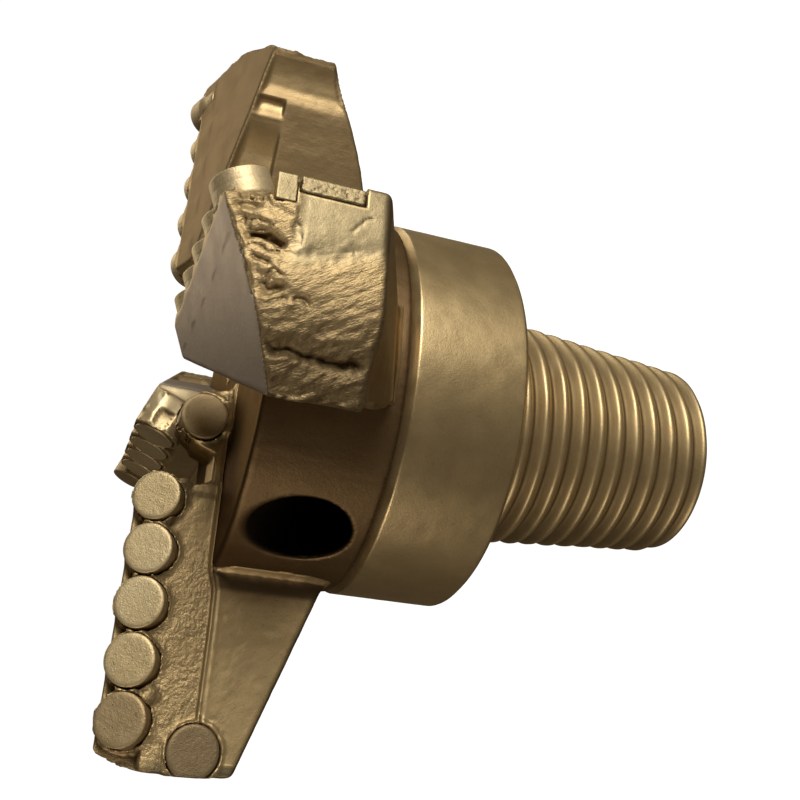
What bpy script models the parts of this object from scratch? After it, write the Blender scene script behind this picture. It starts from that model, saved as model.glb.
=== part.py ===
"""Four-wing PDC drill bit with a concave crown, a straight collar and a tapered threaded pin.

The bit stands on the flat nose of its pin. The origin is the middle of that nose, +Z runs up the axis to the
cutting face, and wing 1 points along +X. Lengths are written in millimetres and built in metres.
Each wing is drawn in its own frame: u runs out along the wing, t points to its leading side, z is the bit's axis.
"""

import math

import bmesh
import bpy
from mathutils import Matrix, Vector

MM = 0.001
GAP = 0.3

# pin and collar
PIN_LENGTH = 76.2
PIN_BASE_R = 36.525
PIN_TAPER = 1.0 / 12.0
PITCH = 6.35
THREAD_DEPTH = 3.05
GROOVE_OPENING = 4.6
GROOVE_ROOT = 1.1
THREAD_STEPS = 28
BORE_R = 19.0
NOSE_FLAT_R = 26.6
COLLAR_R = 56.8
COLLAR_LENGTH = 33.6
COLLAR_TOP = PIN_LENGTH + COLLAR_LENGTH

# crown body
CORE_R = 56.5
CORE_BOTTOM = COLLAR_TOP + GAP
CORE_TOP = PIN_LENGTH + 70.2
BORE_TOP = PIN_LENGTH + 44.0

# water ports, one in front of each wing
PORT_R = 11.3
PORT_TILT = math.radians(38.0)
PORT_AZIMUTH = math.radians(32.0)
PORT_Z = PIN_LENGTH + 52.4

# wings
WING_AZIMUTHS = (0.0, -90.0, 180.0, 90.0)
WINGS_WITH_GAUGE_CUTTER = (1, 3)
WING_INNER_U = 33.5
LEAD_T = 6.0
LEDGE_T = 7.0
SHELF_T = 0.5
SHELF_Z = PIN_LENGTH + 86.6
LEDGE_Z = PIN_LENGTH + 69.2
LEDGE_DROP = 1.8
GAUGE_R = 107.95
PAD_R = 107.5
CROWN_Z = PIN_LENGTH + 92.9
RELIEF_SLOPE = 0.40
TRAIL_OUTER = (96.0, -38.9)
TRAIL_SLOPE = -0.483
UNDER_INNER = (CORE_R, PIN_LENGTH + 38.1)
UNDER_OUTER = (PAD_R, PIN_LENGTH + 57.9)
SHOULDER_TOP = (104.2, PIN_LENGTH + 93.0)
SHOULDER_END = (107.6, PIN_LENGTH + 81.0)

# cutters
CUTTER_R = 6.72
CUTTER_LENGTH = 13.2
CUTTER_FACE_T = 8.2
FACE_CUTTERS_U = (38.8, 53.2, 67.3, 81.7)
FACE_CUTTER_Z = PIN_LENGTH + 87.9
FACE_BACK_RAKE = math.radians(21.0)
# the outermost face cutter stands a little differently on each wing: (u, z)
OUTER_CUTTERS = {
    1: (96.5, PIN_LENGTH + 90.0),
    2: (96.7, PIN_LENGTH + 88.9),
    3: (96.0, PIN_LENGTH + 87.9),
    4: (97.0, PIN_LENGTH + 89.8),
}
GAUGE_CUTTER = (102.0, PIN_LENGTH + 68.6)
CENTRE_CUTTER = (14.1, PIN_LENGTH + 78.0)

# gauge inserts: lowest z, highest z, depth behind the leading face
INSERT_LONG = (PIN_LENGTH + 63.6, PIN_LENGTH + 77.6, 3.8)
INSERT_SHORT = (PIN_LENGTH + 78.3, PIN_LENGTH + 82.6, 6.5)
INSERT_THICKNESS = 3.0


def clear_scene():
    for obj in list(bpy.data.objects):
        bpy.data.objects.remove(obj, do_unlink=True)


def new_collection(name):
    made = bpy.data.collections.new(name)
    bpy.context.scene.collection.children.link(made)
    return made


def paint(name, colour, roughness):
    material = bpy.data.materials.new(name)
    material.use_nodes = True
    shader = material.node_tree.nodes["Principled BSDF"]
    shader.inputs["Base Color"].default_value = (*colour, 1.0)
    shader.inputs["Roughness"].default_value = roughness
    shader.inputs["Metallic"].default_value = 0.85
    return material


clear_scene()
PARTS = new_collection("pdc_drill_bit")
CUTTERS = new_collection("cutters")
GOLD_STEEL = paint("gold_paint_on_steel", (0.36, 0.27, 0.14), 0.42)
GOLD_CARBIDE = paint("gold_paint_on_carbide", (0.42, 0.33, 0.18), 0.5)


def add(name, mesh, material=None):
    obj = bpy.data.objects.new(name, mesh)
    if material is None:
        CUTTERS.objects.link(obj)
        obj.hide_render = True
        obj.display_type = "WIRE"
    else:
        PARTS.objects.link(obj)
        mesh.materials.clear()
        mesh.materials.append(material)
        mesh.shade_smooth()
        mesh.set_sharp_from_angle(angle=math.radians(30))
    return obj


def mesh_of(bm, name):
    bmesh.ops.recalc_face_normals(bm, faces=bm.faces)
    if bm.calc_volume(signed=True) < 0:
        bmesh.ops.reverse_faces(bm, faces=bm.faces)
    mesh = bpy.data.meshes.new(name)
    bm.to_mesh(mesh)
    bm.free()
    return mesh


def turned(name, profile, steps, material=None):
    """A solid of revolution from (radius, z) points listed from the top of the outside down and back inside."""
    mesh = bpy.data.meshes.new(name)
    points = [(r * MM, 0.0, z * MM) for r, z in profile]
    edges = [(i, (i + 1) % len(points)) for i in range(len(points))]
    mesh.from_pydata(points, edges, [])
    obj = add(name, mesh, material)
    screw = obj.modifiers.new("turn", "SCREW")
    screw.steps = screw.render_steps = steps
    screw.use_merge_vertices = True
    screw.merge_threshold = 0.00005
    screw.use_smooth_shade = material is not None
    return obj


def rod(name, radius, length, steps, matrix, material=None, chamfer=0.0):
    """A cylinder whose middle of one end is the matrix's origin and whose other end lies along its -Z."""
    bm = bmesh.new()
    bmesh.ops.create_cone(
        bm,
        cap_ends=True,
        segments=steps,
        radius1=radius * MM,
        radius2=radius * MM,
        depth=length * MM,
    )
    bmesh.ops.translate(bm, verts=bm.verts, vec=(0, 0, -length / 2 * MM))
    if chamfer:
        rim = [e for e in bm.edges if all(abs(v.co.z) < 1e-9 for v in e.verts)]
        bmesh.ops.bevel(bm, geom=rim, offset=chamfer * MM, segments=1, affect="EDGES")
    bm.transform(matrix)
    return add(name, mesh_of(bm, name), material)


def extruded(name, outline, low, high, matrix, material=None):
    """A flat outline of (x, y) points, given in mm, extruded from low to high along its own z and then placed."""
    curve = bpy.data.curves.new(name, "CURVE")
    curve.dimensions = "2D"
    curve.fill_mode = "BOTH"
    curve.extrude = (high - low) / 2 * MM
    spline = curve.splines.new("POLY")
    spline.points.add(len(outline) - 1)
    for point, (x, y) in zip(spline.points, outline):
        point.co = (x * MM, y * MM, 0.0, 1.0)
    spline.use_cyclic_u = True
    flat = bpy.data.objects.new(name + "_outline", curve)
    CUTTERS.objects.link(flat)
    bpy.context.view_layer.update()
    graph = bpy.context.evaluated_depsgraph_get()
    mesh = bpy.data.meshes.new_from_object(flat.evaluated_get(graph))
    bpy.data.objects.remove(flat, do_unlink=True)
    bm = bmesh.new()
    bm.from_mesh(mesh)
    bpy.data.meshes.remove(mesh)
    bmesh.ops.remove_doubles(bm, verts=bm.verts, dist=0.000001)
    bmesh.ops.translate(bm, verts=bm.verts, vec=(0, 0, (high + low) / 2 * MM))
    bm.transform(matrix)
    return add(name, mesh_of(bm, name), material)


def cut(obj, cutter, operation="DIFFERENCE"):
    boolean = obj.modifiers.new(cutter.name, "BOOLEAN")
    boolean.operation = operation
    boolean.solver = "EXACT"
    boolean.object = cutter


def wing_matrix(azimuth):
    return Matrix.Rotation(math.radians(azimuth), 4, "Z")


# an outline drawn in (u, z) and extruded along t: its x is u, its y is z, and its z is -t
SIDE_ON = Matrix(((1, 0, 0, 0), (0, 0, -1, 0), (0, 1, 0, 0), (0, 0, 0, 1)))


def across(u, t, z, lean=0.0):
    """The frame of a round cutter: its origin in the middle of the face, +Z out of the face, which leans to the crown."""
    normal = Vector((0.0, math.cos(lean), math.sin(lean)))
    side = Vector((1.0, 0.0, 0.0))
    up = normal.cross(side)
    matrix = Matrix((side, up, normal)).transposed().to_4x4()
    matrix.translation = Vector((u, t, z)) * MM
    return matrix


# ---------------------------------------------------------------- pin and collar, one turned piece
def pin_r(z):
    """Crest radius of the pin at height z above the nose."""
    return PIN_BASE_R - (PIN_LENGTH - z) * PIN_TAPER


def thread_groove():
    """The helical groove between the crests, right-handed, four-sided, running out beyond the nose."""
    bm = bmesh.new()
    start_angle = math.radians(-32.0 + 36.0)
    start_z = PIN_LENGTH - 5.53
    turns = (start_z + 4.2) / PITCH
    steps = int(turns * THREAD_STEPS)
    proud = 1.0
    grow = proud * math.tan(math.radians(30.0))
    rings = []
    for i in range(steps + 1):
        angle = start_angle - 2 * math.pi * i / THREAD_STEPS
        z = start_z - PITCH * i / THREAD_STEPS
        lift = THREAD_DEPTH * max(0.0, 1.0 - i / (THREAD_STEPS * 0.3))
        crest = pin_r(z) + lift
        ring = []
        for radius, dz in (
            (crest + proud, GROOVE_OPENING / 2 + grow),
            (crest - THREAD_DEPTH, GROOVE_ROOT / 2),
            (crest - THREAD_DEPTH, -GROOVE_ROOT / 2),
            (crest + proud, -GROOVE_OPENING / 2 - grow),
        ):
            ring.append(
                bm.verts.new(
                    (
                        radius * math.cos(angle) * MM,
                        radius * math.sin(angle) * MM,
                        (z + dz) * MM,
                    )
                )
            )
        rings.append(ring)
    for a, b in zip(rings, rings[1:]):
        for k in range(4):
            bm.faces.new((a[k], a[(k + 1) % 4], b[(k + 1) % 4], b[k]))
    bm.faces.new(rings[0])
    bm.faces.new(rings[-1])
    bmesh.ops.triangulate(bm, faces=bm.faces)
    return add("cut_thread", mesh_of(bm, "cut_thread"))


shank = turned(
    "threaded_shank",
    [
        (BORE_R, COLLAR_TOP),
        (COLLAR_R - 2.2, COLLAR_TOP),
        (COLLAR_R, COLLAR_TOP - 2.2),
        (COLLAR_R, PIN_LENGTH + 1.2),
        (COLLAR_R - 1.2, PIN_LENGTH),
        (PIN_BASE_R, PIN_LENGTH),
        (pin_r(2.9), 2.9),
        (NOSE_FLAT_R, 0.0),
        (BORE_R + 1.5, 0.0),
        (BORE_R, 1.5),
    ],
    56,
    GOLD_STEEL,
)
cut(shank, thread_groove())

# ---------------------------------------------------------------- crown body with the water ways
core = turned(
    "crown_body",
    [
        (0.0, CORE_TOP),
        (CORE_R - 1.0, CORE_TOP),
        (CORE_R, CORE_TOP - 1.0),
        (CORE_R, CORE_BOTTOM + 0.8),
        (CORE_R - 0.8, CORE_BOTTOM),
        (BORE_R, CORE_BOTTOM),
        (BORE_R, BORE_TOP - 6.0),
        (BORE_R - 6.0, BORE_TOP),
        (0.0, BORE_TOP),
    ],
    56,
    GOLD_STEEL,
)
for number, azimuth in enumerate(WING_AZIMUTHS, 1):
    angle = math.radians(azimuth) + PORT_AZIMUTH
    outward = Vector(
        (
            math.cos(angle) * math.cos(PORT_TILT),
            math.sin(angle) * math.cos(PORT_TILT),
            math.sin(PORT_TILT),
        )
    )
    mouth = Vector((math.cos(angle) * CORE_R, math.sin(angle) * CORE_R, PORT_Z))
    matrix = outward.to_track_quat("Z", "Y").to_matrix().to_4x4()
    matrix.translation = (mouth + outward * 20.0) * MM
    reach = 20.0 + (CORE_R - BORE_R + 5.0) / math.cos(PORT_TILT)
    port = rod(f"cut_port_{number}", PORT_R, reach, 32, matrix)
    cut(core, port)
    cut(shank, port)

# ---------------------------------------------------------------- wings


def wing_plan():
    """The wing seen along the axis, as (u, t) points: straight leading side, pad on the gauge circle, flame-cut end."""
    points = []
    last = math.radians(-11.0)
    first = math.asin(LEDGE_T / PAD_R)
    for i in range(7):
        angle = first + (last - first) * i / 6
        points.append((PAD_R * math.cos(angle), PAD_R * math.sin(angle)))
    inner_t = TRAIL_OUTER[1] + TRAIL_SLOPE * (WING_INNER_U - TRAIL_OUTER[0])
    points += [TRAIL_OUTER, (WING_INNER_U, inner_t), (WING_INNER_U, LEDGE_T)]
    return points


def below_line(a, b, far):
    """An outline in (u, z) that holds everything under the line through a and b."""
    slope = (b[1] - a[1]) / (b[0] - a[0])
    low, high = -60.0, 160.0
    return [
        (low, a[1] + slope * (low - a[0])),
        (low, far),
        (high, far),
        (high, a[1] + slope * (high - a[0])),
    ]


core_clearance = rod(
    "cut_core_clearance",
    CORE_R + GAP,
    CORE_TOP + GAP,
    56,
    Matrix.Translation((0, 0, (CORE_TOP + GAP) * MM)),
)


def face_cutter_seats(number):
    return [(u, FACE_CUTTER_Z) for u in FACE_CUTTERS_U] + [OUTER_CUTTERS[number]]


def make_wing(number, azimuth):
    turn = wing_matrix(azimuth)
    name = f"wing_{number}"
    top = CROWN_Z + 4.0
    wing = extruded(name, wing_plan(), PIN_LENGTH + 30.0, top, turn, GOLD_STEEL)
    # the centre arm that carries the middle cutter
    with_centre = number in WINGS_WITH_GAUGE_CUTTER
    if with_centre:
        arm = extruded(
            f"{name}_centre_arm",
            [(5.7, LEDGE_T), (5.7, -8.6), (36.0, -8.6), (36.0, LEDGE_T)],
            CORE_TOP - 8.0,
            PIN_LENGTH + 79.4,
            turn,
        )
        cut(wing, arm, "UNION")
    # the leading side is milled back above the ledge, where the cutters sit
    milled = extruded(
        f"cut_{name}_milled",
        [
            (-5.0, CORE_TOP - 14.0),
            (CORE_R - 3.0, CORE_TOP - 14.0),
            (CORE_R - 3.0, LEDGE_Z),
            (GAUGE_R + 5.0, LEDGE_Z - LEDGE_DROP),
            (GAUGE_R + 5.0, top + 5.0),
            (-5.0, top + 5.0),
        ],
        -(LEDGE_T + 4.0),
        -LEAD_T,
        turn @ SIDE_ON,
    )
    cut(wing, milled)
    # the shelf in front of the crown, on which the cutters stand out
    shelf = extruded(
        f"cut_{name}_shelf",
        [
            (FACE_CUTTERS_U[0] - 12.0, SHELF_Z),
            (OUTER_CUTTERS[number][0], SHELF_Z),
            (OUTER_CUTTERS[number][0], SHELF_Z - 5.0),
            (GAUGE_R + 6.0, SHELF_Z - 5.0),
            (GAUGE_R + 6.0, top + 6.0),
            (FACE_CUTTERS_U[0] - 12.0, top + 6.0),
        ],
        -(LEDGE_T + 6.0),
        -SHELF_T,
        turn @ SIDE_ON,
    )
    cut(wing, shelf)
    # crown relief, falling away behind the cutters
    slope = RELIEF_SLOPE
    relief = extruded(
        f"cut_{name}_relief",
        [
            (16.0, CROWN_Z + slope * (16.0 - SHELF_T)),
            (16.0, CROWN_Z + 60.0),
            (-70.0, CROWN_Z + 60.0),
            (-70.0, CROWN_Z + slope * (-70.0 - SHELF_T)),
        ],
        -5.0,
        130.0,
        turn @ Matrix(((0, 0, 1, 0), (1, 0, 0, 0), (0, 1, 0, 0), (0, 0, 0, 1))),
    )
    cut(wing, relief)
    # the conical shoulder between the crown and the gauge
    cut(wing, shoulder_cone)
    # the pin side of the wing slopes up from the collar to the gauge
    under = extruded(
        f"cut_{name}_under",
        below_line(UNDER_INNER, UNDER_OUTER, -20.0),
        -20.0,
        60.0,
        turn @ SIDE_ON,
    )
    cut(wing, under)
    cut(wing, core_clearance)

    # face cutters in their pockets
    for place, (u, z) in enumerate(face_cutter_seats(number), 1):
        seat = turn @ across(u, CUTTER_FACE_T, z, FACE_BACK_RAKE)
        rod(
            f"wing_{number}_cutter_{place}",
            CUTTER_R,
            CUTTER_LENGTH,
            26,
            seat,
            GOLD_CARBIDE,
            0.5,
        )
        ahead = seat @ Matrix.Translation((0, 0, 4.0 * MM))
        cut(
            wing,
            rod(
                f"cut_{name}_pocket_{place}",
                CUTTER_R + GAP,
                CUTTER_LENGTH + GAP + 4.0,
                26,
                ahead,
            ),
        )
    if with_centre:
        for label, (u, z) in (("gauge", GAUGE_CUTTER), ("centre", CENTRE_CUTTER)):
            seat = turn @ across(u, CUTTER_FACE_T, z)
            disc = rod(
                f"wing_{number}_{label}_cutter",
                CUTTER_R,
                CUTTER_LENGTH,
                26,
                seat,
                GOLD_CARBIDE,
                0.5,
            )
            ahead = seat @ Matrix.Translation((0, 0, 4.0 * MM))
            cut(
                wing,
                rod(
                    f"cut_{name}_pocket_{label}",
                    CUTTER_R + GAP,
                    CUTTER_LENGTH + GAP + 4.0,
                    26,
                    ahead,
                ),
            )
            if label == "gauge":
                cut(disc, gauge_circle, "INTERSECT")
        return
    for label, (low, high, deep) in (("long", INSERT_LONG), ("short", INSERT_SHORT)):
        front = LEAD_T - (0.4 if label == "short" else 0.2)
        plate = [
            (GAUGE_R - INSERT_THICKNESS, front),
            (GAUGE_R - INSERT_THICKNESS, front - deep),
            (GAUGE_R + 3.0, front - deep),
            (GAUGE_R + 3.0, front),
        ]
        insert = extruded(
            f"wing_{number}_gauge_insert_{label}", plate, low, high, turn, GOLD_CARBIDE
        )
        cut(insert, gauge_circle, "INTERSECT")
        room = [
            (GAUGE_R - INSERT_THICKNESS - GAP, LEDGE_T + 2.0),
            (GAUGE_R - INSERT_THICKNESS - GAP, front - deep - GAP),
            (GAUGE_R + 3.0, front - deep - GAP),
            (GAUGE_R + 3.0, LEDGE_T + 2.0),
        ]
        cut(
            wing,
            extruded(f"cut_{name}_seat_{label}", room, low - GAP, high + GAP, turn),
        )


shoulder_lean = (SHOULDER_TOP[0] - SHOULDER_END[0]) / (SHOULDER_TOP[1] - SHOULDER_END[1])
shoulder_low, shoulder_high = SHOULDER_END[1] - 11.0, SHOULDER_TOP[1] + 12.0
shoulder_cone = turned(
    "cut_shoulder_cone",
    [
        (130.0, shoulder_high),
        (130.0, shoulder_low),
        (SHOULDER_END[0] - 11.0 * shoulder_lean, shoulder_low),
        (SHOULDER_TOP[0] + 12.0 * shoulder_lean, shoulder_high),
    ],
    96,
)
gauge_circle = rod(
    "cut_gauge_circle",
    GAUGE_R,
    60.0,
    180,
    Matrix.Translation((0, 0, (PIN_LENGTH + 100.0) * MM)),
)
for number, azimuth in enumerate(WING_AZIMUTHS, 1):
    make_wing(number, azimuth)
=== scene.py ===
"""The looks of a four-wing PDC drill bit, painted gold all over, lying as new in a pale studio.

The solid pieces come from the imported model. Here each one gets its real surface: flame-cut and torn steel on the
outer ends of the wings, braze and weld metal, a rounded thread, and satin gold paint. Shapes are distance fields in
the frame of each wing (u out along the wing, t to its leading side, z up the axis), in millimetres.
"""

import math

import bpy
import numpy as np
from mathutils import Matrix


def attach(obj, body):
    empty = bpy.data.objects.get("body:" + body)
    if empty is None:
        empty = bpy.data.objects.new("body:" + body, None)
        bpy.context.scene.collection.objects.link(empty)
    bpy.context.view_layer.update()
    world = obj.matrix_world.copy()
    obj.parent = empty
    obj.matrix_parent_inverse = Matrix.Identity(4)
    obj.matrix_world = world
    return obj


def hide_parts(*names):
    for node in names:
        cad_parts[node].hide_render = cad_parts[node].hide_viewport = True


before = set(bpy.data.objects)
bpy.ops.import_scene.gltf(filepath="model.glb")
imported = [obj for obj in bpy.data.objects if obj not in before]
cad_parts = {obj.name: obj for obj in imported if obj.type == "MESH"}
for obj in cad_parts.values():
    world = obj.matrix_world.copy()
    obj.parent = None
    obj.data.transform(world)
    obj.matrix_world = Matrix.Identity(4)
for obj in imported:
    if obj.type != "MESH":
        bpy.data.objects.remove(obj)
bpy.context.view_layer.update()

import openvdb as vdb
from mathutils import Matrix, Vector

MM = 0.001
F = np.float32

# sizes shared with the solid model
PIN_LENGTH = 76.2
PIN_BASE_R = 36.525
PIN_TAPER = 1.0 / 12.0
PITCH = 6.35
BORE_R = 19.0
COLLAR_R = 56.8
COLLAR_TOP = 109.8
CORE_R = 56.5
CORE_BOTTOM = 110.1
CORE_TOP = 146.4
BORE_TOP = 120.2
PORT_R = 10.9
PORT_TILT = math.radians(38.0)
PORT_AZIMUTH = math.radians(31.2)
PORT_Z = 128.6
WING_AZIMUTHS = {1: 0.0, 2: -90.0, 3: 180.0, 4: 90.0}
CUTTER_R = 6.72
CUTTER_LENGTH = 13.2
CUTTER_FACE_T = 8.2
BACK_RAKE = math.radians(21.0)
FACE_CUTTERS_U = (38.8, 53.2, 67.3, 81.7)
FACE_CUTTER_Z = 164.1
OUTER_CUTTERS = {1: (96.5, 166.2), 2: (96.7, 165.1), 3: (96.0, 164.1), 4: (97.0, 166.0)}
GAUGE_CUTTER = (102.0, 144.8)
CENTRE_CUTTER = (14.1, 154.2)
GAUGE_R = 107.95
PAD_R = 107.5
INSERTS = {"long": (139.8, 153.8, 3.8, 0.2), "short": (154.5, 158.8, 6.5, 0.4)}


# ---------------------------------------------------------------- numbers on arrays
def smin(a, b, k):
    h = np.clip(0.5 + 0.5 * (b - a) / k, 0.0, 1.0)
    return b + (a - b) * h - k * h * (1.0 - h)


def smax(a, b, k):
    return -smin(-a, -b, k)


def step(a, b, x):
    h = np.clip((x - a) / (b - a), 0.0, 1.0)
    return h * h * (3.0 - 2.0 * h)


def bump(x, width):
    return np.exp(-((x / width) ** 2))


def corner(ix, iy, iz, seed):
    h = ix * np.uint32(0x8DA6B343) ^ iy * np.uint32(0xD8163841) ^ iz * np.uint32(0xCB1AB31F)
    h = h ^ np.uint32((seed * 2654435761) & 0xFFFFFFFF)
    h = (h ^ (h >> np.uint32(15))) * np.uint32(0x2C1B3C6D)
    h = (h ^ (h >> np.uint32(12))) * np.uint32(0x297A2D39)
    h = h ^ (h >> np.uint32(15))
    return h.astype(F) * F(2.0 / 4294967295.0) - F(1.0)


def noise(x, y, z, seed=0):
    """Smooth noise from -1 to 1, the same every run."""
    fx, fy, fz = np.floor(x), np.floor(y), np.floor(z)
    ix, iy, iz = (v.astype(np.int64).astype(np.uint32) for v in (fx, fy, fz))
    wx, wy, wz = (w * w * w * (w * (w * 6.0 - 15.0) + 10.0) for w in (x - fx, y - fy, z - fz))
    one = np.uint32(1)
    total = 0.0
    for dz, kz in ((np.uint32(0), 1.0 - wz), (one, wz)):
        for dy, ky in ((np.uint32(0), 1.0 - wy), (one, wy)):
            low = corner(ix, iy + dy, iz + dz, seed)
            high = corner(ix + one, iy + dy, iz + dz, seed)
            total = total + (low + (high - low) * wx) * ky * kz
    return total


def layers(x, y, z, size, count=3, seed=0, gain=0.5):
    total, weight, norm = 0.0, 1.0, 0.0
    for i in range(count):
        # each layer is turned, so that the lattices don't line up
        a, b = (x * 0.8 - y * 0.6, x * 0.6 + y * 0.8) if i % 2 else (x, y)
        total = total + weight * noise(a / size + 7.3 * i, b / size - 3.1 * i, z / size + 1.7 * i, seed + i)
        norm += weight
        weight *= gain
        size *= 0.5
    return total / norm


def ridges(x, y, z, size, count=2, seed=0):
    total, weight, norm = 0.0, 1.0, 0.0
    for i in range(count):
        total = total + weight * (1.0 - 2.0 * np.abs(noise(x / size + 5.1 * i, y / size, z / size - 2.3 * i, seed + i)))
        norm += weight
        weight *= 0.5
        size *= 0.5
    return total / norm


def to_line(x, y, points):
    """Distance in a plane to a broken line."""
    best = np.full_like(x, 1e3)
    for (ax, ay), (bx, by) in zip(points, points[1:]):
        dx, dy = bx - ax, by - ay
        h = np.clip(((x - ax) * dx + (y - ay) * dy) / (dx * dx + dy * dy), 0.0, 1.0)
        best = np.minimum(best, np.hypot(x - ax - dx * h, y - ay - dy * h))
    return best


# ---------------------------------------------------------------- meshing of distance fields
def to_mesh(name, points, quads, smooth=True):
    mesh = bpy.data.meshes.new(name)
    mesh.vertices.add(len(points))
    mesh.vertices.foreach_set("co", points.astype(F).ravel())
    mesh.loops.add(quads.size)
    mesh.loops.foreach_set("vertex_index", quads.astype(np.int32).ravel())
    mesh.polygons.add(len(quads))
    mesh.polygons.foreach_set("loop_start", np.arange(0, quads.size, quads.shape[1], dtype=np.int32))
    mesh.polygons.foreach_set("use_smooth", np.full(len(quads), smooth))
    mesh.update(calc_edges=True)
    return mesh


def biggest_shell(points, quads):
    """Leaves out small crumbs that came loose from the main body."""
    label = np.arange(len(points))
    while True:
        low = label[quads].min(1)
        new = label.copy()
        np.minimum.at(new, quads.ravel(), np.repeat(low, quads.shape[1]))
        new = new[new]
        if (new == label).all():
            break
        label = new
    keep = np.bincount(label[quads[:, 0]]).argmax()
    quads = quads[label[quads[:, 0]] == keep]
    used = np.unique(quads)
    index = np.zeros(len(points), np.int64)
    index[used] = np.arange(len(used))
    return points[used], index[quads]


def skin(name, rough, fine, low, high, voxel, azimuth=0.0, band=3.4):
    """Meshes the field rough + fine, the second only near the surface, and returns (object, points in the field's frame)."""
    axes = [np.arange(a, b + voxel, voxel, dtype=F) for a, b in zip(low, high)]
    U, T, Z = np.meshgrid(*axes, indexing="ij", copy=False)
    field = np.empty(U.shape, F)
    slab = 24
    for i in range(0, U.shape[0], slab):
        part = slice(i, i + slab)
        u, t, z = U[part].ravel(), T[part].ravel(), Z[part].ravel()
        d = rough(u, t, z).astype(F)
        near = np.abs(d) < band
        if fine is not None and near.any():
            d[near] += fine(u[near], t[near], z[near], d[near]).astype(F)
        field[part] = d.reshape(U[part].shape)
    grid = vdb.FloatGrid(3.0)
    grid.copyFromArray(np.clip(field, -3.0, 3.0), ijk=(0, 0, 0), tolerance=0.0)
    grid.transform = vdb.createLinearTransform(voxelSize=voxel)
    points, triangles, quads = grid.convertToPolygons(isovalue=0.0, adaptivity=0.0)
    points, quads = biggest_shell(points.astype(np.float64), quads.astype(np.int64))
    points += np.array(low)

    def whole(p):
        u, t, z = (p[:, i].astype(F) for i in range(3))
        d = rough(u, t, z)
        return d if fine is None else d + fine(u, t, z, d)

    # the corners are drawn onto the true surface
    h = 0.12
    here = whole(points)
    slope = np.stack([(whole(points + h * e) - here) / h for e in np.eye(3)], 1).astype(np.float64)
    size = np.maximum((slope**2).sum(1, keepdims=True), 0.25)
    points -= np.clip(here[:, None] * slope / size, -0.6 * voxel, 0.6 * voxel)
    normal = slope / np.sqrt(np.maximum((slope**2).sum(1, keepdims=True), 1e-6))
    v = points[quads]
    volume = np.einsum("ij,ij->i", v[:, 0], np.cross(v[:, 1], v[:, 2])) + np.einsum("ij,ij->i", v[:, 0], np.cross(v[:, 2], v[:, 3]))
    if volume.sum() < 0:
        quads = quads[:, ::-1]
    a = math.radians(azimuth)
    turned = points.copy()
    turned[:, 0] = points[:, 0] * math.cos(a) - points[:, 1] * math.sin(a)
    turned[:, 1] = points[:, 0] * math.sin(a) + points[:, 1] * math.cos(a)
    mesh = to_mesh(name, turned * MM, quads)
    obj = bpy.data.objects.new(name, mesh)
    bpy.context.scene.collection.objects.link(obj)
    # how closed in, and how sharp outwards, each place is: the paint darkens closed-in places as painted shade and
    # pales sharp edges
    occlusion_shade = np.zeros(len(points), F)
    for reach, weight in ((0.9, 0.45), (2.6, 0.55)):
        occlusion_shade += weight * np.clip(1.0 - whole(points + normal * reach) / reach, 0.0, 1.0).astype(F)
    sharp = np.clip(1.0 + whole(points - normal * 1.3) / 1.3, 0.0, 1.0).astype(F)
    mark(obj, "occlusion_shade", occlusion_shade)
    mark(obj, "sharp", sharp)
    return obj, points, normal


def mark(obj, name, values):
    values = np.asarray(values, F)
    if values.ndim == 2:
        layer = obj.data.attributes.new(name, "FLOAT_VECTOR", "POINT")
        layer.data.foreach_set("vector", values.ravel())
    else:
        layer = obj.data.attributes.new(name, "FLOAT", "POINT")
        layer.data.foreach_set("value", values.ravel())


# ---------------------------------------------------------------- the crown body
def port_axis(number):
    angle = math.radians(WING_AZIMUTHS[number]) + PORT_AZIMUTH
    out = np.array([math.cos(angle) * math.cos(PORT_TILT), math.sin(angle) * math.cos(PORT_TILT), math.sin(PORT_TILT)])
    mouth = np.array([math.cos(angle) * CORE_R, math.sin(angle) * CORE_R, PORT_Z])
    return mouth, out


def core_solid(x, y, z):
    r = np.hypot(x, y)
    side = r - CORE_R
    d = smax(side, z - CORE_TOP, 1.6)
    return smax(d, CORE_BOTTOM - z, 0.9)


def core_field(x, y, z):
    r = np.hypot(x, y)
    d = core_solid(x, y, z)
    bore = smax(r - BORE_R, z - BORE_TOP, 6.0)
    d = smax(d, -bore, 0.8)
    for number in WING_AZIMUTHS:
        mouth, out = port_axis(number)
        px, py, pz = x - F(mouth[0]), y - F(mouth[1]), z - F(mouth[2] + 0.4)
        along = px * F(out[0]) + py * F(out[1]) + pz * F(out[2])
        away = np.sqrt(np.maximum(px * px + py * py + pz * pz - along * along, 1e-6))
        port = np.maximum(away - PORT_R, -along - 52.0)
        d = smax(d, -port, 1.3)
    return d


def core_detail(x, y, z, d):
    r = np.hypot(x, y)
    outside = step(CORE_R - 3.0, CORE_R - 1.0, r)
    skin_ = layers(x, y, z * 0.6, 9.0, 2, 40) * 0.05 + layers(x, y, z, 1.6, 2, 44) * 0.02
    flow = layers(x * 2.0, y * 2.0, z * 0.3, 5.0, 2, 47) * 0.04
    return (skin_ + flow) * (0.35 + 0.65 * outside)


# ---------------------------------------------------------------- wings
TRAIL_N = math.hypot(1.0, 0.483)
RELIEF_N = math.hypot(1.0, 0.40)
UNDER_S = (134.1 - 114.3) / (PAD_R - CORE_R)
UNDER_N = math.hypot(1.0, UNDER_S)
CONE_S = (107.6 - 104.2) / 12.0
CONE_N = math.hypot(1.0, CONE_S)
END_A, END_B = (105.52, -20.51), (96.0, -38.9)
END_L = math.hypot(END_A[0] - END_B[0], END_A[1] - END_B[1])
END_NORMAL = ((END_A[1] - END_B[1]) / END_L, -(END_A[0] - END_B[0]) / END_L)


def ledge_of(u):
    return np.maximum(145.4 - 1.8 * (u - 53.5) / 59.45, 147.0 - 2.1 * step(54.0, 64.0, u))


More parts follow.
